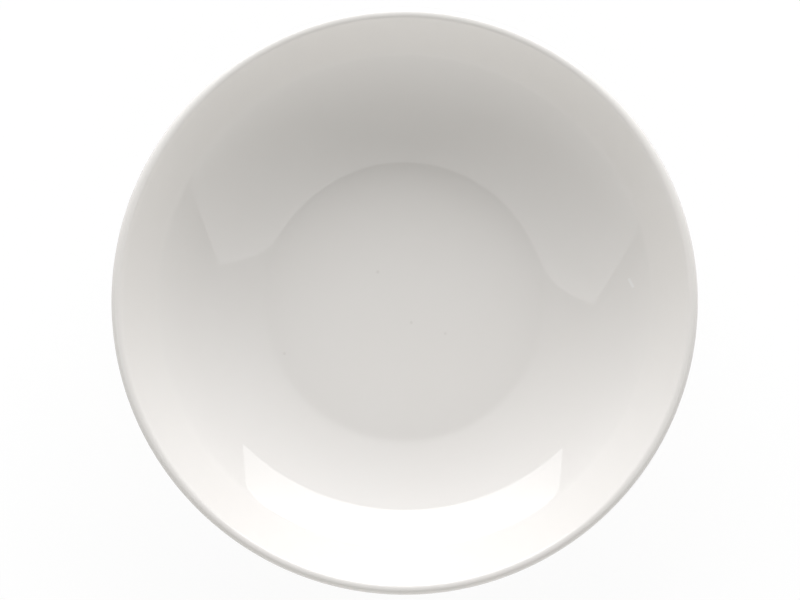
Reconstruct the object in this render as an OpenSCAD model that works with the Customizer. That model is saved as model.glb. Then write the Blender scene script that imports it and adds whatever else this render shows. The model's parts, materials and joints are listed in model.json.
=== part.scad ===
/* [Plate] */
// Diameter over the lip
plate_d = 230; // [205:1:260]
// Width of the steep brim, from the outside of the lip in to the shoulder line
brim_w = 18.5; // [15:0.5:24]
// Diameter of the flat floor of the well
well_d = 109; // [90:1:118]
// Width of the curve that turns the floor of the well up into the wall
well_edge_w = 2.6; // [2:0.2:5]
// Width of the shoulder curve that turns the wall up into the brim
shoulder_w = 1.8; // [1:0.2:3]

/* [Slopes in degrees] */
// Slope of the wall where it leaves the edge of the well
wall_low_slope = 8; // [6:1:12]
// Slope of the wall just below the shoulder
wall_top_slope = 37; // [33:1:39]
// Slope of the brim just above the shoulder
brim_low_slope = 45; // [42:1:46]
// Slope of the brim at the lip
brim_top_slope = 48; // [47:1:52]

/* [Thickness] */
// Thickness of the wall and the brim with their glaze, rounded over in full at the lip
wall_t = 4.6; // [3.6:0.1:5]
// Thickness of the base inside the foot ring with its glaze
base_t = 5.2; // [4.8:0.1:7]
// Thickness of the fired glaze
glaze_t = 0.3; // [0.15:0.05:0.5]

/* [Foot ring] */
// Height of the glazed base above the table
foot_h = 4; // [3.6:0.1:6]
// Width of the foot ring at the table, before its corners are rounded
foot_w = 4.6; // [3.6:0.1:8]
// How far the foot ring stands outside the curve at the edge of the well
foot_outset = 1; // [0:0.5:6]
// Lean of the foot ring's two faces from upright, in degrees
foot_taper = 12; // [4:1:18]
// Radius of the foot ring's two bottom corners
foot_round = 0.8; // [0.3:0.1:0.9]
// Radius of the hollow curve between the wall and the outside of the foot ring
foot_hollow = 2.6; // [1.5:0.1:3]
// Radius of the hollow curve between the base and the inside of the foot ring
base_hollow = 1.6; // [1:0.1:1.8]
// Height above the table at which the glaze stops on both sides of the foot ring
glaze_line_h = 1.1; // [0.9:0.05:1.2]

/* [Hidden] */

// Widest gap allowed between a true curve and the straights that draw it
curve_gap = 0.015;
// Straights in one full turn of the plate
turn_steps = 240;

plate_r = plate_d / 2;
lip_half = wall_t / 2;
floor_z = foot_h + base_t;

// The glazed inner surface from the floor of the well to the lip.
// Each station is [radius, slope], and one arc joins each station to the next.
well_r = well_d / 2;
wall_r = well_r + well_edge_w;
shoulder_r = plate_r - brim_w;
lip_r = plate_r - lip_half * (1 + sin(brim_top_slope));
stations = [
    [well_r, 0],
    [wall_r, wall_low_slope],
    [shoulder_r, wall_top_slope],
    [shoulder_r + shoulder_w, brim_low_slope],
    [lip_r, brim_top_slope]
];
last_index = len(stations) - 1;

// Numbers of the arcs, by the station that each one starts from
well_edge_index = 0;
wall_index = 1;
brim_index = 3;

function radius_at(k) = stations[k][0];
function slope_at(k) = stations[k][1];

// The chord of an arc has the mean of its two end slopes
function height_at(k) = k < 1 ? floor_z :
    height_at(k - 1)
    + (radius_at(k) - radius_at(k - 1)) * tan((slope_at(k) + slope_at(k - 1)) / 2);

function sweep_r(k) =
    (radius_at(k + 1) - radius_at(k)) / (sin(slope_at(k + 1)) - sin(slope_at(k)));
function sweep_centre(k) =
    [radius_at(k), height_at(k)] + sweep_r(k) * [-sin(slope_at(k)), cos(slope_at(k))];

// A point on an outline is [radius, height, facing], where facing is the direction, in degrees
// from straight outwards, in which the surface looks. A negative radius makes a hollow curve.
function on_arc(centre, rad, facing) =
    [centre[0] + rad * cos(facing), centre[1] + rad * sin(facing), facing];

function arc_steps(rad, turn) =
    max(2, ceil(abs(turn) / (2 * acos(1 - min(curve_gap / abs(rad), 0.5)))));

// All the points of an arc after its first one
function arc(centre, rad, from, to) =
    let (steps = arc_steps(rad, to - from))
    [for (i = [1:steps]) on_arc(centre, rad, from + (to - from) * i / steps)];

// Moves a point out of the surface
function lifted(p, t) = [p[0] + t * cos(p[2]), p[1] + t * sin(p[2]), p[2]];

function reversed(points) = [for (i = [len(points) - 1:-1:0]) points[i]];

function outline(points) = [for (p = points) [p[0], p[1]]];

// The fired clay under the glaze: its inner surface, its lip and its underside
inner_depth = glaze_t;
under_depth = wall_t - glaze_t;

function inner_arc(k) =
    arc(sweep_centre(k), -(sweep_r(k) + inner_depth), 90 + slope_at(k), 90 + slope_at(k + 1));
function under_arc(k, low_slope) =
    arc(sweep_centre(k), sweep_r(k) + under_depth, slope_at(k + 1) - 90, low_slope - 90);

lip_centre = [lip_r, height_at(last_index)]
    + lip_half * [sin(brim_top_slope), -cos(brim_top_slope)];
lip_arc = arc(lip_centre, lip_half - glaze_t, 90 + brim_top_slope, brim_top_slope - 90);

// The foot ring stands under the edge of the well. Its two faces lean apart upwards, and pass
// through the sharp corners that it would have on the table.
foot_out_r = wall_r + foot_outset;
foot_in_r = foot_out_r - foot_w;
out_facing = -foot_taper;
in_facing = foot_taper - 180;
corner_set = foot_round * tan((90 - foot_taper) / 2);
out_corner = [foot_out_r - corner_set, foot_round];
in_corner = [foot_in_r + corner_set, foot_round];

// A point on a foot face at a height above the table
function on_out_face(h) = [foot_out_r + h * tan(foot_taper), h, out_facing];
function on_in_face(h) = [foot_in_r - h * tan(foot_taper), h, in_facing];

// The hollow outside the foot ring touches the underside of the wall where its slope is join_slope
wall_centre = sweep_centre(wall_index);
under_r = sweep_r(wall_index) + under_depth;
corner_to_centre = wall_centre - [foot_out_r, 0];
face_reach = corner_to_centre * [cos(foot_taper), -sin(foot_taper)];
join_slope = asin((foot_hollow - face_reach) / (under_r + foot_hollow)) - foot_taper;
out_hollow_centre = wall_centre + (under_r + foot_hollow) * [sin(join_slope), -cos(join_slope)];

// The hollow inside the foot ring touches the flat underside of the base
clay_base_z = foot_h + glaze_t;
in_hollow_z = clay_base_z - base_hollow;
in_hollow_centre =
    [foot_in_r - (base_hollow + in_hollow_z * sin(foot_taper)) / cos(foot_taper), in_hollow_z];

// The glaze comes to its full thickness this far above the line where it stops
glaze_end_h = glaze_line_h + glaze_t * cos(foot_taper);

// Clay outline in three runs: under the glaze coat, bare, and under the base glaze
coated_run = concat(
    [[0, floor_z - glaze_t, 90], [well_r, floor_z - glaze_t, 90]],
    [for (k = [well_edge_index:last_index - 1]) each inner_arc(k)],
    lip_arc,
    [for (k = [brim_index:-1:wall_index + 1]) each under_arc(k, slope_at(k))],
    under_arc(wall_index, join_slope),
    arc(out_hollow_centre, -foot_hollow, join_slope - 90, out_facing)
);
bare_run = concat(
    [on_out_face(glaze_line_h), on_arc(out_corner, foot_round, out_facing)],
    arc(out_corner, foot_round, out_facing, -90),
    [on_arc(in_corner, foot_round, -90)],
    arc(in_corner, foot_round, -90, in_facing),
    [on_in_face(glaze_line_h)]
);
base_run = concat(
    [on_arc(in_hollow_centre, -base_hollow, in_facing)],
    arc(in_hollow_centre, -base_hollow, in_facing, -90),
    [[0, clay_base_z, -90]]
);

// The glaze ends in a quarter round that thins to nothing at the glaze line
coat_end = arc(on_out_face(glaze_end_h), glaze_t, out_facing - 90, out_facing);
base_end = arc(on_in_face(glaze_end_h), glaze_t, in_facing + 90, in_facing);

// Biscuit-fired porcelain in one piece, with the foot ring turned on its underside
module porcelain_body() {
    color([0.93, 0.91, 0.87])
        rotate_extrude($fn = turn_steps)
            polygon(outline(concat(coated_run, bare_run, base_run)));
}

// One layer of clear white glaze, from the glaze line up the outside, over the lip and
// across the well
module glaze_coat() {
    color([0.97, 0.96, 0.94])
        rotate_extrude($fn = turn_steps)
            polygon(outline(concat(
                coated_run,
                [on_out_face(glaze_line_h)],
                coat_end,
                reversed([for (p = coated_run) lifted(p, glaze_t)])
            )));
}

// The glaze on the base inside the foot ring, which the bare foot parts from the coat
module base_glaze() {
    color([0.97, 0.96, 0.94])
        rotate_extrude($fn = turn_steps)
            polygon(outline(concat(
                [on_in_face(glaze_line_h)],
                base_run,
                reversed([for (p = base_run) lifted(p, glaze_t)]),
                reversed(base_end)
            )));
}

porcelain_body();
glaze_coat();
base_glaze();
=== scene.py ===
"""A white glazed soup plate on a pale floor, seen from straight above in soft studio light."""

import json
import math

import bpy
from mathutils import Matrix, Vector


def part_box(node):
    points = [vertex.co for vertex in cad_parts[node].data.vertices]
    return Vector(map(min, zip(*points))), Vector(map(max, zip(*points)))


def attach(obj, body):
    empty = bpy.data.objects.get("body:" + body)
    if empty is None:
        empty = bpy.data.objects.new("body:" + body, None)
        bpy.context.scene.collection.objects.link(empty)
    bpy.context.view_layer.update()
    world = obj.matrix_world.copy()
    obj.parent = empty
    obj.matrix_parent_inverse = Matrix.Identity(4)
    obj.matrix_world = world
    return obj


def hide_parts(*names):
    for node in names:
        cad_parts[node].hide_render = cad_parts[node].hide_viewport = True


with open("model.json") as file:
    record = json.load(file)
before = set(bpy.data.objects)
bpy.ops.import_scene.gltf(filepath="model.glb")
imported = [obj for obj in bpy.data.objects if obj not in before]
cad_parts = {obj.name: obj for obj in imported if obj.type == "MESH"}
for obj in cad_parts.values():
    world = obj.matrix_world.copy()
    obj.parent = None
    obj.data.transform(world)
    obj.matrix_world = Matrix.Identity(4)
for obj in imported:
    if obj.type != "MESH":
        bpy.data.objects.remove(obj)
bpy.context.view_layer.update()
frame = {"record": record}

MM = 0.001
DEG = math.pi / 180

# Sizes of the plate that the frame gives
COAT_LOW, COAT_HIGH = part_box("glaze_coat")
BODY_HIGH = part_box("porcelain_body")[1]
MOUNTS = {mount["name"]: mount["pos_m"] for mount in frame["record"]["mounts"]}
PLATE_R = COAT_HIGH.x
PLATE_TOP = COAT_HIGH.z
FLOOR_Z = MOUNTS["well_floor"][2]
BASE_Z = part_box("base_glaze")[1].z
GLAZE_LINE_H = COAT_LOW.z
GLAZE_T = PLATE_R - BODY_HIGH.x

# Sizes of the plate's outline, as the construction has them
BRIM_W = 18.5 * MM
WELL_R = 54.5 * MM
WELL_EDGE_W = 2.6 * MM
SHOULDER_W = 1.8 * MM
WALL_LOW_SLOPE = 8 * DEG
WALL_TOP_SLOPE = 37 * DEG
BRIM_LOW_SLOPE = 45 * DEG
BRIM_TOP_SLOPE = 48 * DEG
WALL_T = 4.6 * MM
FOOT_W = 4.6 * MM
FOOT_OUTSET = 1 * MM
FOOT_TAPER = 12 * DEG
FOOT_ROUND = 0.8 * MM
FOOT_HOLLOW = 2.6 * MM
BASE_HOLLOW = 1.6 * MM

# Facings of a surface, as the angle from straight outwards
UP = 90 * DEG
DOWN = -90 * DEG


# Nodes

def add_node(tree, kind, settings=None, **inputs):
    """A new node in the tree.

    An input is named, or numbered as _0, and is a value, or a socket that is linked to it.
    """
    made = tree.nodes.new(kind)
    for name, value in (settings or {}).items():
        setattr(made, name, value)
    for name, value in inputs.items():
        socket = made.inputs[int(name[1:])] if name[0] == "_" else made.inputs[name.replace("_", " ")]
        if isinstance(value, bpy.types.NodeSocket):
            tree.links.new(value, socket)
        else:
            socket.default_value = value
    return made


def work_out(tree, operation, *terms):
    """The outcome of a Math node on one, two or three terms."""
    inputs = {f"_{place}": term for place, term in enumerate(terms)}
    return add_node(tree, "ShaderNodeMath", {"operation": operation}, **inputs).outputs[0]


def empty_material(name):
    """A material without nodes, and its tree."""
    material = bpy.data.materials.new(name)
    material.use_nodes = True
    material.node_tree.nodes.clear()
    return material, material.node_tree


def show_surface(tree, shader):
    """Makes the shader the material's surface."""
    output = tree.nodes.new("ShaderNodeOutputMaterial")
    tree.links.new(shader.outputs[0], output.inputs["Surface"])


# Outline of the plate, in points of radius, height and facing

ARC_LEAST_STEPS = 3
STEPS_IN_A_RADIUS = 6


def on_arc(centre, radius, facing):
    """A point on an arc. A negative radius makes a hollow curve."""
    return (centre[0] + radius * math.cos(facing), centre[1] + radius * math.sin(facing), facing)


def arc(centre, radius, start, end, step):
    """All the points of an arc after its first, about one step apart."""
    count = max(ARC_LEAST_STEPS, math.ceil(abs(radius * (end - start)) / step))
    return [on_arc(centre, radius, start + (end - start) * i / count) for i in range(1, count + 1)]


def line(start, end, step):
    """All the points of a straight after its first, about one step apart."""
    count = max(1, math.ceil(math.dist(start[:2], end[:2]) / step))
    return [
        tuple(a + (b - a) * i / count for a, b in zip(start[:2], end[:2])) + (end[2],)
        for i in range(1, count + 1)
    ]


def lifted(points, rise):
    """The points moved out of the surface."""
    return [(r + rise * math.cos(f), z + rise * math.sin(f), f) for r, z, f in points]


class Outline:
    """The runs of the plate's outline, drawn with a given step along its arcs."""

    # Steps on the flat floors and round the lip, as shares of the given one
    flat_share = 2.5
    lip_share = 0.3

    def __init__(self, step):
        lip_half = WALL_T / 2
        wall_r = WELL_R + WELL_EDGE_W
        shoulder_r = PLATE_R - BRIM_W
        lip_r = PLATE_R - lip_half * (1 + math.sin(BRIM_TOP_SLOPE))
        stations = [
            (WELL_R, 0),
            (wall_r, WALL_LOW_SLOPE),
            (shoulder_r, WALL_TOP_SLOPE),
            (shoulder_r + SHOULDER_W, BRIM_LOW_SLOPE),
            (lip_r, BRIM_TOP_SLOPE),
        ]
        height = FLOOR_Z
        sweeps = []
        for (r0, slope0), (r1, slope1) in zip(stations, stations[1:]):
            sweep_r = (r1 - r0) / (math.sin(slope1) - math.sin(slope0))
            centre = (r0 - sweep_r * math.sin(slope0), height + sweep_r * math.cos(slope0))
            sweeps.append((centre, sweep_r, slope0, slope1))
            height += (r1 - r0) * math.tan((slope0 + slope1) / 2)

        # Inner surface of the fired clay, then its lip, then its underside down to the foot
        clay = lifted([(0, FLOOR_Z, UP)], -GLAZE_T)
        clay += line(clay[0], (WELL_R, FLOOR_Z - GLAZE_T, UP), self.flat_share * step)
        for centre, sweep_r, slope0, slope1 in sweeps:
            clay += arc(centre, -(sweep_r + GLAZE_T), UP + slope0, UP + slope1, self.near(sweep_r, step))
        lip_centre = (
            lip_r + lip_half * math.sin(BRIM_TOP_SLOPE),
            height - lip_half * math.cos(BRIM_TOP_SLOPE),
        )
        clay += arc(
            lip_centre, lip_half - GLAZE_T, UP + BRIM_TOP_SLOPE, DOWN + BRIM_TOP_SLOPE,
            self.lip_share * step,
        )
        under_t = WALL_T - GLAZE_T
        _, wall_sweep, shoulder_sweep, brim_sweep = sweeps
        for centre, sweep_r, slope0, slope1 in (brim_sweep, shoulder_sweep):
            clay += arc(centre, sweep_r + under_t, DOWN + slope1, DOWN + slope0, self.near(sweep_r, step))

        # The hollow outside the foot ring touches the wall's underside and the foot's outer face
        wall_centre, wall_sweep_r, _, _ = wall_sweep
        self.foot_out_r = wall_r + FOOT_OUTSET
        self.foot_in_r = self.foot_out_r - FOOT_W
        under_r = wall_sweep_r + under_t
        face_reach = (
            (wall_centre[0] - self.foot_out_r) * math.cos(FOOT_TAPER)
            - wall_centre[1] * math.sin(FOOT_TAPER)
        )
        join = math.asin((FOOT_HOLLOW - face_reach) / (under_r + FOOT_HOLLOW)) - FOOT_TAPER
        hollow = (
            wall_centre[0] + (under_r + FOOT_HOLLOW) * math.sin(join),
            wall_centre[1] - (under_r + FOOT_HOLLOW) * math.cos(join),
        )
        clay += arc(wall_centre, under_r, DOWN + WALL_TOP_SLOPE, DOWN + join, step)
        clay += arc(hollow, -FOOT_HOLLOW, join + DOWN, -FOOT_TAPER, self.near(FOOT_HOLLOW, step))
        self.coated = clay

        # The bare foot ring, from one glaze line to the other
        inset = FOOT_ROUND * math.tan((UP - FOOT_TAPER) / 2)
        out_corner = (self.foot_out_r - inset, FOOT_ROUND)
        in_corner = (self.foot_in_r + inset, FOOT_ROUND)
        corner_step = self.near(FOOT_ROUND, step)
        foot = [self.out_face(GLAZE_LINE_H)]
        foot += line(foot[0], on_arc(out_corner, FOOT_ROUND, -FOOT_TAPER), corner_step)
        foot += arc(out_corner, FOOT_ROUND, -FOOT_TAPER, DOWN, corner_step)
        foot += line(foot[-1], on_arc(in_corner, FOOT_ROUND, DOWN), corner_step)
        foot += arc(in_corner, FOOT_ROUND, DOWN, FOOT_TAPER + 2 * DOWN, corner_step)
        foot += line(foot[-1], self.in_face(GLAZE_LINE_H), corner_step)
        self.bare = foot

        # The base inside the foot ring, from the foot's inner face to the axis
        hollow_z = BASE_Z - BASE_HOLLOW
        reach = BASE_HOLLOW + hollow_z * math.sin(FOOT_TAPER)
        hollow = (self.foot_in_r - reach / math.cos(FOOT_TAPER), hollow_z)
        base = [on_arc(hollow, -BASE_HOLLOW, FOOT_TAPER + 2 * DOWN)]
        base += arc(hollow, -BASE_HOLLOW, FOOT_TAPER + 2 * DOWN, DOWN, self.near(BASE_HOLLOW, step))
        base += line(base[-1], (0, BASE_Z, DOWN), self.flat_share * step)
        self.base = base

        # The glaze ends in a quarter round on each face of the foot
        end_h = GLAZE_LINE_H + GLAZE_T * math.cos(FOOT_TAPER)
        hem_step = self.near(GLAZE_T, step)
        self.coat_end = arc(self.out_face(end_h), GLAZE_T, -FOOT_TAPER, DOWN - FOOT_TAPER, hem_step)
        self.base_end = arc(
            self.in_face(end_h), GLAZE_T, 2 * DOWN + FOOT_TAPER, DOWN + FOOT_TAPER, hem_step
        )

    @staticmethod
    def near(radius, step):
        """A step for an arc of that radius, finer where the arc is tight."""
        return min(step, radius / STEPS_IN_A_RADIUS)

    def out_face(self, height):
        """A point on the outer face of the foot ring."""
        return (self.foot_out_r + height * math.tan(FOOT_TAPER), height, -FOOT_TAPER)

    def in_face(self, height):
        """A point on the inner face of the foot ring."""
        return (self.foot_in_r - height * math.tan(FOOT_TAPER), height, FOOT_TAPER + 2 * DOWN)


# Turned pieces

SMOOTH_STEP = 1 * MM
HIDDEN_STEP = 4 * MM
TURN_STEPS = 288
# The section rides on a circle of this radius, and its points are placed from there
HUB_R = 100 * MM
WELD = 0.001 * MM
# How far the rim is out of true, and how fast that grows with the height. Lobes of the rim and the
# hem are counted along a circle of radius 1.
RIM_WARP = 0.12 * MM
WARP_POWER = 2.0
WARP_LOBES = 1.3
WARP_DETAIL = 1.0
# How far the glaze's hem wavers, and where that ends above it
HEM_WAVE = 0.35 * MM
HEM_LOBES = 9.0
HEM_DETAIL = 2.0
HEM_TOP = 4 * MM
POTTER_SEED = 4.0


def turned_tree():
    """Turns a section about the plate's axis, welds its poles, and gives it a potter's small unevenness."""
    tree = bpy.data.node_groups.new("turned_piece", "GeometryNodeTree")
    face = tree.interface
    face.new_socket("Section", in_out="INPUT", socket_type="NodeSocketGeometry")
    for name, kind in (
        ("Steps in a turn", "NodeSocketInt"),
        ("Hub radius", "NodeSocketFloat"),
        ("Weld", "NodeSocketFloat"),
        ("Top of the plate", "NodeSocketFloat"),
        ("Rim warp", "NodeSocketFloat"),
        ("Warp lobes", "NodeSocketFloat"),
        ("Hem wave", "NodeSocketFloat"),
        ("Hem lobes", "NodeSocketFloat"),
        ("Hem bottom", "NodeSocketFloat"),
        ("Hem top", "NodeSocketFloat"),
        ("Seed", "NodeSocketFloat"),
        ("Finish", "NodeSocketMaterial"),
    ):
        face.new_socket(name, in_out="INPUT", socket_type=kind)
    face.new_socket("Piece", in_out="OUTPUT", socket_type="NodeSocketGeometry")
    given = tree.nodes.new("NodeGroupInput").outputs

    hub = add_node(
        tree, "GeometryNodeCurvePrimitiveCircle",
        Resolution=given["Steps in a turn"], Radius=given["Hub radius"],
    )
    swept = add_node(
        tree, "GeometryNodeCurveToMesh", Curve=hub.outputs["Curve"], Profile_Curve=given["Section"],
    )
    welded = add_node(
        tree, "GeometryNodeMergeByDistance", Geometry=swept.outputs["Mesh"], Distance=given["Weld"],
    )

    # Where each point is: its bearing round the axis and its height
    place = tree.nodes.new("GeometryNodeInputPosition").outputs["Position"]
    axes = add_node(tree, "ShaderNodeSeparateXYZ", Vector=place).outputs
    level = add_node(tree, "ShaderNodeCombineXYZ", X=axes["X"], Y=axes["Y"])
    bearing = add_node(
        tree, "ShaderNodeVectorMath", {"operation": "NORMALIZE"}, _0=level.outputs["Vector"],
    ).outputs["Vector"]

    # The rim dips and draws in by a share that grows towards the top
    dips = add_node(
        tree, "ShaderNodeTexNoise", {"noise_dimensions": "4D"},
        Vector=bearing, W=given["Seed"], Scale=given["Warp lobes"], Detail=WARP_DETAIL,
    ).outputs[0]
    height_share = work_out(tree, "DIVIDE", axes["Z"], given["Top of the plate"])
    high_share = work_out(tree, "POWER", height_share, WARP_POWER)
    dip = work_out(tree, "MULTIPLY", work_out(tree, "MULTIPLY", dips, high_share), given["Rim warp"])

    # The hem of the glaze rises and falls along the foot's leaning faces
    waves = add_node(
        tree, "ShaderNodeTexNoise", {"noise_dimensions": "4D"},
        Vector=bearing, W=given["Seed"], Scale=given["Hem lobes"], Detail=HEM_DETAIL,
    ).outputs[0]
    hem_share = add_node(
        tree, "ShaderNodeMapRange",
        _0=axes["Z"], _1=given["Hem top"], _2=given["Hem bottom"], _3=0.0, _4=1.0,
    ).outputs[0]
    rise = work_out(tree, "MULTIPLY", work_out(tree, "MULTIPLY", waves, hem_share), given["Hem wave"])

    drawn_in = add_node(
        tree, "ShaderNodeVectorMath", {"operation": "SCALE"},
        _0=bearing, Scale=work_out(tree, "MULTIPLY", dip, -1.0),
    ).outputs["Vector"]
    upright = add_node(tree, "ShaderNodeCombineXYZ", Z=work_out(tree, "SUBTRACT", rise, dip))
    shift = add_node(
        tree, "ShaderNodeVectorMath", {"operation": "ADD"}, _0=drawn_in, _1=upright.outputs["Vector"],
    ).outputs["Vector"]
    uneven = add_node(tree, "GeometryNodeSetPosition", Geometry=welded.outputs[0], Offset=shift)
    smooth = add_node(tree, "GeometryNodeSetShadeSmooth", _0=uneven.outputs[0])
    real = add_node(tree, "GeometryNodeRealizeInstances", Geometry=smooth.outputs[0])
    finished = add_node(
        tree, "GeometryNodeSetMaterial", Geometry=real.outputs[0], Material=given["Finish"],
    )
    result = tree.nodes.new("NodeGroupOutput")
    tree.links.new(finished.outputs[0], result.inputs["Piece"])
    return tree


def section_curve(name, points):
    """The section as an open curve, from the axis round the piece and back to the axis."""
    curve = bpy.data.curves.new(name, "CURVE")
    curve.dimensions = "3D"
    spline = curve.splines.new("POLY")
    spline.points.add(len(points) - 1)
    # Swept along the circle, a section's Y axis points down
    for point, (radius, height, _) in zip(spline.points, points):
        point.co = (radius - HUB_R, -height, 0, 1)
    return curve


def turned_piece(name, points, finish, hem_wave):
    """Turns a section into a closed mesh piece."""
    turning = bpy.data.objects.new(name + "_turning", section_curve(name + "_section", points))
    bpy.context.scene.collection.objects.link(turning)
    modifier = turning.modifiers.new("turn", "NODES")
    modifier.node_group = TURNED
    settings = {
        "Steps in a turn": TURN_STEPS,
        "Hub radius": HUB_R,
        "Weld": WELD,
        "Top of the plate": PLATE_TOP,
        "Rim warp": RIM_WARP,
        "Warp lobes": WARP_LOBES,
        "Hem wave": hem_wave,
        "Hem lobes": HEM_LOBES,
        "Hem bottom": GLAZE_LINE_H,
        "Hem top": HEM_TOP,
        "Seed": POTTER_SEED,
        "Finish": finish,
    }
    for socket in TURNED.interface.items_tree:
        if socket.in_out == "INPUT" and socket.name in settings:
            modifier[socket.identifier] = settings[socket.name]
    depsgraph = bpy.context.evaluated_depsgraph_get()
    mesh = bpy.data.meshes.new_from_object(turning.evaluated_get(depsgraph), depsgraph=depsgraph)
    turning.modifiers.remove(modifier)
    bpy.data.objects.remove(turning)
    mesh.name = name
    piece = bpy.data.objects.new(name, mesh)
    bpy.context.scene.collection.objects.link(piece)
    return piece


# Finishes

GLAZE_WHITE = (0.838, 0.815, 0.794, 1)
GLAZE_CREAM = (0.828, 0.80, 0.774, 1)
GLAZE_POOLED = (0.76, 0.77, 0.755, 1)
CLAY_CREAM = (0.80, 0.74, 0.65, 1)
CLAY_GREY = (0.66, 0.62, 0.56, 1)
SPECK_GREY = (0.52, 0.49, 0.45, 1)

# Specks in the glaze of the well: across, along and radius
SPECKS = (
    (-10.7 * MM, 11.8 * MM, 1.0 * MM),
    (2.7 * MM, -8.4 * MM, 0.9 * MM),
    (16.3 * MM, -12.8 * MM, 0.8 * MM),
    (-48.0 * MM, -20.8 * MM, 0.9 * MM),
)
# How much of the grey a speck or a pinhole takes on
SPECK_SHADE = 0.2
# The share of its radius over which a speck or the painted highlight streak is whole
MARK_CORE = 0.25

# A painted highlight: a pale streak on the wall that stands in for a glint, between two places across and
# along
PAINTED_GLINT_START = Vector((89.1 * MM, 8.8 * MM, 0))
PAINTED_GLINT_END = Vector((90.5 * MM, 6.0 * MM, 0))
PAINTED_GLINT_R = 0.8 * MM
PAINTED_GLINT_WHITE = (0.89, 0.875, 0.86, 1)

# Lobes of a finish are counted in a metre
NOISE_DETAIL = 2.0
TINT_LOBES = 22.0
# The fine peel and the slow swell of the glaze's surface
PEEL_LOBES = 650.0
PEEL_DEPTH = 0.0002 * MM
SWELL_LOBES = 55.0
SWELL_DETAIL = 1.0
SWELL_DEPTH = 0.002 * MM
# Pinholes
PIT_LOBES = 95.0
PIT_R = 0.16 * MM
PIT_DEPTH = 0.05 * MM
# The noise's range that takes the glaze from its glossiest to its dullest, and its roughness at both
GLOSS_LOBES = 120.0
GLOSS_RANGE = (0.3, 0.7)
GLAZE_ROUGHNESS = (0.006, 0.014)
GLAZE_IOR = 1.52
# The height where the glaze begins to pool, and how much of the pooled tint it has at its hem
POOL_TOP = 6 * MM
POOL_SHARE = 0.6

# Numbers of a Mix node's sockets for colours
MIX_FIRST = 6
MIX_SECOND = 7
MIX_RESULT = 2


def new_material(name):
    """A material and its tree, its shader, and the place on the piece that its patterns read."""
    material, tree = empty_material(name)
    shader = tree.nodes.new("ShaderNodeBsdfPrincipled")
    show_surface(tree, shader)
    place = tree.nodes.new("ShaderNodeTexCoord").outputs["Object"]
    return material, tree, shader, place


def noise(tree, place, lobes, detail=NOISE_DETAIL):
    """Soft noise from 0 to 1 with that many lobes in a metre."""
    return add_node(tree, "ShaderNodeTexNoise", Vector=place, Scale=lobes, Detail=detail).outputs[0]


def mix_colours(tree, share, first, second):
    """The first colour turning into the second as the share goes from 0 to 1."""
    made = add_node(tree, "ShaderNodeMix", {"data_type": "RGBA"}, _0=share)
    for place, colour in ((MIX_FIRST, first), (MIX_SECOND, second)):
        if isinstance(colour, bpy.types.NodeSocket):
            tree.links.new(colour, made.inputs[place])
        else:
            made.inputs[place].default_value = colour
    return made.outputs[MIX_RESULT]


def fade(tree, value, start, end, low=0.0, high=1.0):
    """The value's way from start to end, given as a number from low to high."""
    return add_node(
        tree, "ShaderNodeMapRange", {"interpolation_type": "SMOOTHSTEP"},
        _0=value, _1=start, _2=end, _3=low, _4=high,
    ).outputs[0]


def raised(tree, height, depth, under=None):
    """A bump of that depth, on top of another one if that is given."""
    bump = add_node(tree, "ShaderNodeBump", Height=height, Distance=depth)
    if under is not None:
        tree.links.new(under, bump.inputs["Normal"])
    return bump.outputs["Normal"]


def speck_share(tree, place):
    """1 in the middle of a speck and 0 outside them all."""
    most = None
    for across, along, radius in SPECKS:
        reach = add_node(
            tree, "ShaderNodeVectorMath", {"operation": "DISTANCE"},
            _0=place, _1=(across, along, FLOOR_Z),
        ).outputs["Value"]
        share = fade(tree, reach, radius, MARK_CORE * radius)
        most = share if most is None else work_out(tree, "MAXIMUM", most, share)
    return most


def painted_glint_share(tree, place):
    """1 on the line of the painted highlight streak, and 0 from its radius outwards."""
    run = PAINTED_GLINT_END - PAINTED_GLINT_START
    from_start = add_node(
        tree, "ShaderNodeVectorMath", {"operation": "SUBTRACT"}, _0=place, _1=PAINTED_GLINT_START,
    ).outputs["Vector"]
    # The painted highlight streak is measured from above, so heights drop out
    level = add_node(
        tree, "ShaderNodeVectorMath", {"operation": "MULTIPLY"}, _0=from_start, _1=(1, 1, 0),
    ).outputs["Vector"]
    along = add_node(
        tree, "ShaderNodeVectorMath", {"operation": "DOT_PRODUCT"},
        _0=level, _1=run / run.length_squared,
    ).outputs["Value"]
    within = add_node(tree, "ShaderNodeMapRange", _0=along, _1=0.0, _2=1.0, _3=0.0, _4=1.0).outputs[0]
    nearest = add_node(
        tree, "ShaderNodeVectorMath", {"operation": "SCALE"}, _0=run, Scale=within,
    ).outputs["Vector"]
    reach = add_node(
        tree, "ShaderNodeVectorMath", {"operation": "DISTANCE"}, _0=level, _1=nearest,
    ).outputs["Value"]
    return fade(tree, reach, PAINTED_GLINT_R, MARK_CORE * PAINTED_GLINT_R)


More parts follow.
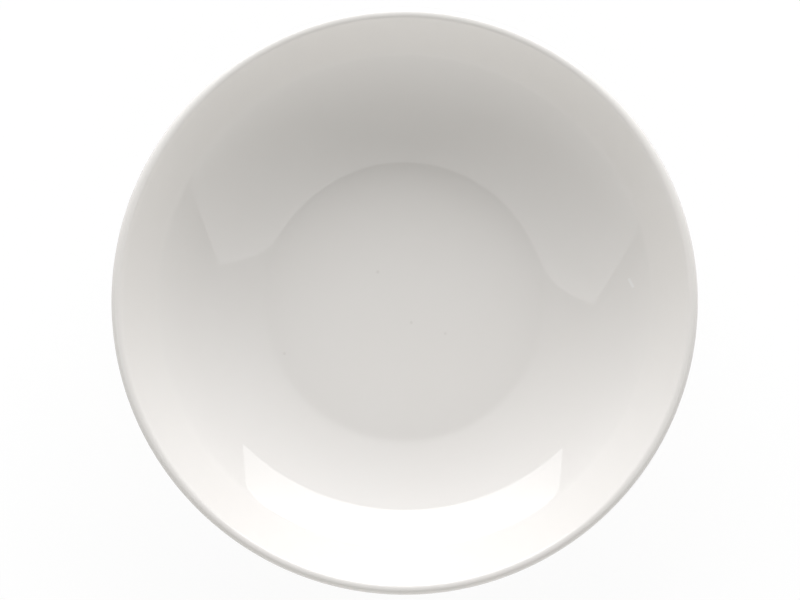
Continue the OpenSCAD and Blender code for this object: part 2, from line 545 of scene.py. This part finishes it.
def white_glaze():
    """Glossy white glaze, a little uneven in tint and surface, with specks, pinholes and a painted
    highlight streak.
    """
    material, tree, shader, place = new_material("white_glaze")
    axes = add_node(tree, "ShaderNodeSeparateXYZ", Vector=place).outputs

    tint = mix_colours(tree, noise(tree, place, TINT_LOBES), GLAZE_WHITE, GLAZE_CREAM)
    pooled = fade(tree, axes["Z"], POOL_TOP, GLAZE_LINE_H, 0.0, POOL_SHARE)
    tint = mix_colours(tree, pooled, tint, GLAZE_POOLED)
    specks = work_out(tree, "MULTIPLY", speck_share(tree, place), SPECK_SHADE)
    tint = mix_colours(tree, specks, tint, SPECK_GREY)
    # A pale streak of painted highlight stands in for a glint on the wall
    tint = mix_colours(tree, painted_glint_share(tree, place), tint, PAINTED_GLINT_WHITE)

    cells = add_node(tree, "ShaderNodeTexVoronoi", Vector=place, Scale=PIT_LOBES)
    pits = fade(tree, cells.outputs["Distance"], PIT_R * PIT_LOBES, 0.0)
    tint = mix_colours(tree, work_out(tree, "MULTIPLY", pits, SPECK_SHADE), tint, SPECK_GREY)
    tree.links.new(tint, shader.inputs["Base Color"])

    gloss = fade(tree, noise(tree, place, GLOSS_LOBES), *GLOSS_RANGE, *GLAZE_ROUGHNESS)
    tree.links.new(gloss, shader.inputs["Roughness"])
    shader.inputs["IOR"].default_value = GLAZE_IOR

    surface = raised(tree, noise(tree, place, SWELL_LOBES, SWELL_DETAIL), SWELL_DEPTH)
    surface = raised(tree, noise(tree, place, PEEL_LOBES), PEEL_DEPTH, surface)
    surface = raised(tree, work_out(tree, "MULTIPLY", pits, -1.0), PIT_DEPTH, surface)
    tree.links.new(surface, shader.inputs["Normal"])
    return material


GRAIN_LOBES = 4000.0
GRAIN_DEPTH = 0.01 * MM
# Smudges on the standing face, and the noise's range that takes them from nothing to whole
SMUDGE_LOBES = 90.0
SMUDGE_DETAIL = 4.0
SMUDGE_RANGE = (0.45, 0.75)
# The wave texture's scale for turning lines about 0.8 mm apart
TURNED_SCALE = 2500.0 / (2 * math.pi)
TURNED_DEPTH = 0.006 * MM
CLAY_ROUGHNESS = 0.75
RUBBED_ROUGHNESS = 0.5
CLAY_IOR = 1.5


def bare_porcelain():
    """Fired clay without glaze, matt and fine-grained, with turning lines and a rubbed standing face."""
    material, tree, shader, place = new_material("bare_porcelain")
    axes = add_node(tree, "ShaderNodeSeparateXYZ", Vector=place).outputs
    smudge = fade(tree, noise(tree, place, SMUDGE_LOBES, SMUDGE_DETAIL), *SMUDGE_RANGE)
    rubbed = fade(tree, axes["Z"], FOOT_ROUND / 2, 0.0)
    dirt = work_out(tree, "MULTIPLY", smudge, rubbed)
    tree.links.new(mix_colours(tree, dirt, CLAY_CREAM, CLAY_GREY), shader.inputs["Base Color"])
    dullness = fade(tree, rubbed, 0.0, 1.0, CLAY_ROUGHNESS, RUBBED_ROUGHNESS)
    tree.links.new(dullness, shader.inputs["Roughness"])
    shader.inputs["IOR"].default_value = CLAY_IOR

    lines = add_node(
        tree, "ShaderNodeTexWave", {"wave_type": "RINGS", "rings_direction": "Z"},
        Vector=place, Scale=TURNED_SCALE,
    )
    surface = raised(tree, noise(tree, place, GRAIN_LOBES), GRAIN_DEPTH)
    surface = raised(tree, lines.outputs["Fac"], TURNED_DEPTH, surface)
    tree.links.new(surface, shader.inputs["Normal"])
    return material


# The plate

TURNED = turned_tree()
GLAZE = white_glaze()
CLAY = bare_porcelain()

# What shows is drawn finely, and the faces hidden between clay and glaze coarsely
fine = Outline(SMOOTH_STEP)
coarse = Outline(HIDDEN_STEP)

coat = turned_piece(
    "glaze_coat_turned",
    lifted(fine.coated, GLAZE_T) + fine.coat_end + coarse.coated[::-1],
    GLAZE, HEM_WAVE,
)
# The clay has no hem
body = turned_piece(
    "porcelain_body_turned",
    coarse.coated + fine.bare + coarse.base,
    CLAY, 0.0,
)
base = turned_piece(
    "base_glaze_turned",
    coarse.base[::-1] + fine.base_end[::-1] + lifted(fine.base, GLAZE_T),
    GLAZE, HEM_WAVE,
)

for piece, node, slot in (
    (coat, "glaze_coat", "white_glaze"),
    (body, "porcelain_body", "bare_porcelain"),
    (base, "base_glaze", "white_glaze"),
):
    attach(piece, "root")
    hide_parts(node)


# Floor and lamps

# The place that the lamps and the panels face
AIM = Vector((0, 0, 20 * MM))
FLOOR_HALF = 5.0
# How far the floor lies under the foot
FLOOR_GAP = 0.05 * MM
FLOOR_WHITE = (0.6, 0.6, 0.6, 1)
# How bright the floor looks of itself, and how much of its look that makes up
FLOOR_GLOW = 1.1
FLOOR_GLOW_SHARE = 0.83

# The key: a softbox low behind the plate. Its upper edge sags in the middle.
# For each panel a reach is its distance, a turn its azimuth and a rise its elevation. Places on it
# are given as seen from a distance of 1.
KEY_REACH = 3.0
KEY_TURN = 0.7 * DEG
KEY_RISE = 32.6 * DEG
KEY_HALF_W = 0.760
KEY_LOW = -0.42
# Its upper edge in the middle and at the corners
KEY_HIGH = 0.160
KEY_CORNER = 0.296
KEY_EDGE_STEPS = 24
KEY_TINT = (0.99, 1.0, 1.015)
# How far up the softbox, and how bright its mirror image is there
KEY_GLOW = ((0.10, 5.0), (0.42, 4.2), (0.60, 3.7))
# Where across the softbox it is brightest, and how much that loses towards its edges
KEY_HOT_SPOT = -0.02
KEY_FADE = 0.4
# The part of the softbox that gives the light
KEY_LAMP_LEFT = -0.65
KEY_LAMP_RIGHT = 0.72
KEY_LAMP_LOW = -0.36
KEY_LAMP_HIGH = 0.0
KEY_LAMP_GLOW = 9.2

# The mirrored reflector: a broad white panel from low in front to almost overhead
REFLECTOR_REACH = 1.2
REFLECTOR_TURN = 186 * DEG
REFLECTOR_RISE = 20 * DEG
REFLECTOR_HALF_W = 1.88
# Elevations of its lower and its upper edge
REFLECTOR_FROM = 1.5 * DEG
REFLECTOR_TO = 86 * DEG
REFLECTOR_TINT = (1.0, 1.0, 1.0)
REFLECTOR_GLOW = ((0.0, 1.28), (0.17, 1.2), (0.35, 0.74), (0.60, 0.98), (0.85, 1.0), (1.0, 1.1))

# The room's dark corners beside the reflector, which only the glaze shows
CORNER_REACH = 4.5
CORNER_RISE = 30 * DEG
# Elevations of their lower and their upper edge
CORNER_FROM = 13 * DEG
CORNER_TO = 52 * DEG
CORNER_TINT = (1.0, 1.0, 0.98)
CORNER_GLOW = ((0.0, 0.58), (0.2, 0.57), (0.43, 0.34), (0.65, 0.20), (1.0, 0.19))
# At this fade a corner is dark at the reflector when it is brightest at its far end
CORNER_FADE = 0.25
# For each corner: its direction, half its width, and 1 or -1 for the side of its far end
CORNERS = {"right_corner": (108 * DEG, 0.30, -1), "left_corner": (261 * DEG, 0.22, 1)}

# The room in front of the plate and behind it: the height of a direction, and how bright it is there
ROOM_TINT = (1.0, 1.0, 0.975, 1)
ROOM_FRONT_GLOW = (
    (0.0, 2.25), (0.17, 0.62), (0.34, 0.9), (0.55, 1.24), (0.80, 1.25), (0.95, 1.46), (1.0, 0.1),
)
ROOM_BACK_GLOW = ((0.0, 0.8), (0.17, 0.57), (0.34, 0.55), (0.60, 0.13), (0.90, 0.07), (1.0, 0.1))
# Where the room in front of the plate ends and the one behind it begins, as the way back of a direction
ROOM_FRONT_END = -0.85
ROOM_BACK_START = 0.15

# Where a new stop of a ramp waits for its own place
NEW_STOP = 0.5


def heading(azimuth, elevation):
    """The direction at that azimuth, clockwise from the back of the plate, and elevation."""
    level = math.cos(elevation)
    return Vector((math.sin(azimuth) * level, math.cos(azimuth) * level, math.sin(elevation)))


def stage_mesh(name, corners, material):
    """One flat face that belongs to the stage and not to the plate."""
    mesh = bpy.data.meshes.new(name)
    mesh.from_pydata(corners, [], [tuple(range(len(corners)))])
    mesh.materials.append(material)
    made = bpy.data.objects.new(name, mesh)
    bpy.context.scene.collection.objects.link(made)
    return made


def glow_ramp(tree, level, glow):
    """Brightness along a level from 0 to 1, straight between the given stops."""
    most = max(strength for _, strength in glow)
    ramp = tree.nodes.new("ShaderNodeValToRGB")
    stops = ramp.color_ramp.elements
    while len(stops) < len(glow):
        stops.new(NEW_STOP)
    for stop, (place, strength) in zip(stops, glow):
        stop.position = place
        stop.color = (strength / most,) * 3 + (1,)
    tree.links.new(level, ramp.inputs[0])
    return work_out(tree, "MULTIPLY", ramp.outputs[0], most)


def faced(made, azimuth, rise, reach):
    """Puts an object of the stage that far from the plate, with its own Z axis towards the plate."""
    normal = heading(azimuth, rise)
    along = heading(azimuth + UP, 0)
    facing = Matrix((along, along.cross(normal), -normal)).transposed()
    size = Vector((reach,) * 3)
    made.matrix_world = Matrix.LocRotScale(AIM + reach * normal, facing.to_quaternion(), size)


def rectangle(half_w, low, high):
    """The corners of a rectangle, in order."""
    return [(-half_w, low), (half_w, low), (half_w, high), (-half_w, high)]


def upright_rectangle(half_w, lowest, highest, rise):
    """A panel's corners, from one elevation to another, for a panel that stands at that rise."""
    return rectangle(half_w, math.tan(lowest - rise), math.tan(highest - rise))


def mirrored_panel(name, azimuth, rise, reach, outline, tint, glow, hot_spot=0.0, side_fade=0.0):
    """A glowing panel that only the plate's glaze shows.

    It is brightest at the hot spot across it, and the side fade is what is lost half its width away.
    """
    material, tree = empty_material(name)
    material.cycles.emission_sampling = "NONE"
    place = tree.nodes.new("ShaderNodeTexCoord").outputs["Object"]
    axes = add_node(tree, "ShaderNodeSeparateXYZ", Vector=place).outputs
    half_w = max(across for across, _ in outline)
    heights = [height for _, height in outline]
    level = add_node(
        tree, "ShaderNodeMapRange", _0=axes["Y"], _1=min(heights), _2=max(heights), _3=0.0, _4=1.0,
    ).outputs[0]
    off_centre = work_out(tree, "DIVIDE", work_out(tree, "SUBTRACT", axes["X"], hot_spot), half_w)
    loss = work_out(tree, "MULTIPLY", work_out(tree, "MULTIPLY", off_centre, off_centre), side_fade)
    left_over = work_out(tree, "SUBTRACT", 1.0, loss)
    strength = work_out(tree, "MULTIPLY", glow_ramp(tree, level, glow), left_over)
    show_surface(tree, add_node(tree, "ShaderNodeEmission", Color=tint + (1,), Strength=strength))

    panel = stage_mesh(name, [(across, height, 0) for across, height in outline], material)
    faced(panel, azimuth, rise, reach)
    panel.visible_camera = panel.visible_diffuse = panel.visible_shadow = False


def key_lamp():
    """The softbox's light, as a lamp that the glaze doesn't show."""
    lamp_data = bpy.data.lights.new("key_lamp", "AREA")
    lamp_data.shape = "RECTANGLE"
    lamp_data.size = KEY_LAMP_RIGHT - KEY_LAMP_LEFT
    lamp_data.size_y = KEY_LAMP_HIGH - KEY_LAMP_LOW
    lamp_data.energy = KEY_LAMP_GLOW * math.pi * lamp_data.size * lamp_data.size_y * KEY_REACH ** 2
    lamp_data.color = KEY_TINT
    lamp = bpy.data.objects.new("key_lamp", lamp_data)
    bpy.context.scene.collection.objects.link(lamp)
    faced(lamp, 0, KEY_RISE, KEY_REACH)
    # A lamp shines against its own Z axis, so it is turned round
    middle = Vector((KEY_LAMP_LEFT + KEY_LAMP_RIGHT, KEY_LAMP_LOW + KEY_LAMP_HIGH, 0)) / 2
    lamp.matrix_world @= Matrix.Translation(middle) @ Matrix.Rotation(math.pi, 4, "Y")
    lamp.visible_camera = lamp.visible_glossy = False


def seen_straight(tree):
    """1 for what the camera sees straight, mirrored or through something clear, and 0 otherwise."""
    rays = tree.nodes.new("ShaderNodeLightPath").outputs
    clear = work_out(tree, "MAXIMUM", rays["Is Glossy Ray"], rays["Is Transmission Ray"])
    return work_out(tree, "MAXIMUM", rays["Is Camera Ray"], clear)


def pale_floor():
    """A pale floor that looks white to the camera and keeps a little of the plate's shadow."""
    material, tree = empty_material("pale_floor")
    paint = add_node(tree, "ShaderNodeBsdfDiffuse", Color=FLOOR_WHITE)
    glow = add_node(tree, "ShaderNodeEmission", Strength=FLOOR_GLOW)
    share = work_out(tree, "MULTIPLY", seen_straight(tree), FLOOR_GLOW_SHARE)
    both = add_node(tree, "ShaderNodeMixShader", _0=share, _1=paint.outputs[0], _2=glow.outputs[0])
    show_surface(tree, both)
    corners = rectangle(FLOOR_HALF, -FLOOR_HALF, FLOOR_HALF)
    stage_mesh("pale_floor", [(x, y, -FLOOR_GAP) for x, y in corners], material)


def pale_room():
    """The room's light: brightest low in front, pale above that, and dark above the softbox."""
    world = bpy.data.worlds.new("pale_room")
    world.use_nodes = True
    world.cycles.sampling_method = "NONE"
    tree = world.node_tree
    tree.nodes.clear()
    way = tree.nodes.new("ShaderNodeTexCoord").outputs["Generated"]
    axes = add_node(tree, "ShaderNodeSeparateXYZ", Vector=way).outputs
    glow = add_node(
        tree, "ShaderNodeMix",
        _0=fade(tree, axes["Y"], ROOM_FRONT_END, ROOM_BACK_START),
        _2=glow_ramp(tree, axes["Z"], ROOM_FRONT_GLOW),
        _3=glow_ramp(tree, axes["Z"], ROOM_BACK_GLOW),
    ).outputs[0]
    light = add_node(tree, "ShaderNodeBackground", Color=ROOM_TINT, Strength=glow)
    output = tree.nodes.new("ShaderNodeOutputWorld")
    tree.links.new(light.outputs[0], output.inputs["Surface"])
    bpy.context.scene.world = world


def key_outline():
    """The softbox's corners, with its upper edge lower in the middle than at its ends."""
    across = [KEY_HALF_W * (1 - 2 * i / KEY_EDGE_STEPS) for i in range(KEY_EDGE_STEPS + 1)]
    upper = [(u, KEY_HIGH + (KEY_CORNER - KEY_HIGH) * (u / KEY_HALF_W) ** 2) for u in across]
    return [(-KEY_HALF_W, KEY_LOW), (KEY_HALF_W, KEY_LOW)] + upper


pale_floor()
pale_room()
key_lamp()
mirrored_panel(
    "key_softbox", KEY_TURN, KEY_RISE, KEY_REACH, key_outline(), KEY_TINT, KEY_GLOW, KEY_HOT_SPOT, KEY_FADE,
)
mirrored_panel(
    "front_reflector", REFLECTOR_TURN, REFLECTOR_RISE, REFLECTOR_REACH,
    upright_rectangle(REFLECTOR_HALF_W, REFLECTOR_FROM, REFLECTOR_TO, REFLECTOR_RISE),
    REFLECTOR_TINT, REFLECTOR_GLOW,
)
for corner, (turn, corner_half, far_side) in CORNERS.items():
    mirrored_panel(
        corner, turn, CORNER_RISE, CORNER_REACH,
        upright_rectangle(corner_half, CORNER_FROM, CORNER_TO, CORNER_RISE),
        CORNER_TINT, CORNER_GLOW, far_side * corner_half, CORNER_FADE,
    )


# Camera, straight above the plate

PHOTO_W = 800
# Radius of the plate's outline in the photograph, and how far its axis lies from the middle
OUTLINE_R_PX = 293.4
AXIS_RIGHT_PX = 4.6
AXIS_DOWN_PX = 1.6
CAMERA_REACH = 1.5
SENSOR_W = 36.0

LIP_Z = PLATE_TOP - WALL_T / 2
PX = PLATE_R / OUTLINE_R_PX

camera_data = bpy.data.cameras.new("camera")
camera_data.sensor_width = SENSOR_W
camera_data.lens = SENSOR_W * CAMERA_REACH / (PHOTO_W * PX)
camera_data.clip_end = 4 * FLOOR_HALF
camera = bpy.data.objects.new("camera", camera_data)
camera.location = (-AXIS_RIGHT_PX * PX, AXIS_DOWN_PX * PX, LIP_Z + CAMERA_REACH)
bpy.context.scene.collection.objects.link(camera)
bpy.context.scene.camera = camera
bpy.context.scene.view_settings.view_transform = "Standard"
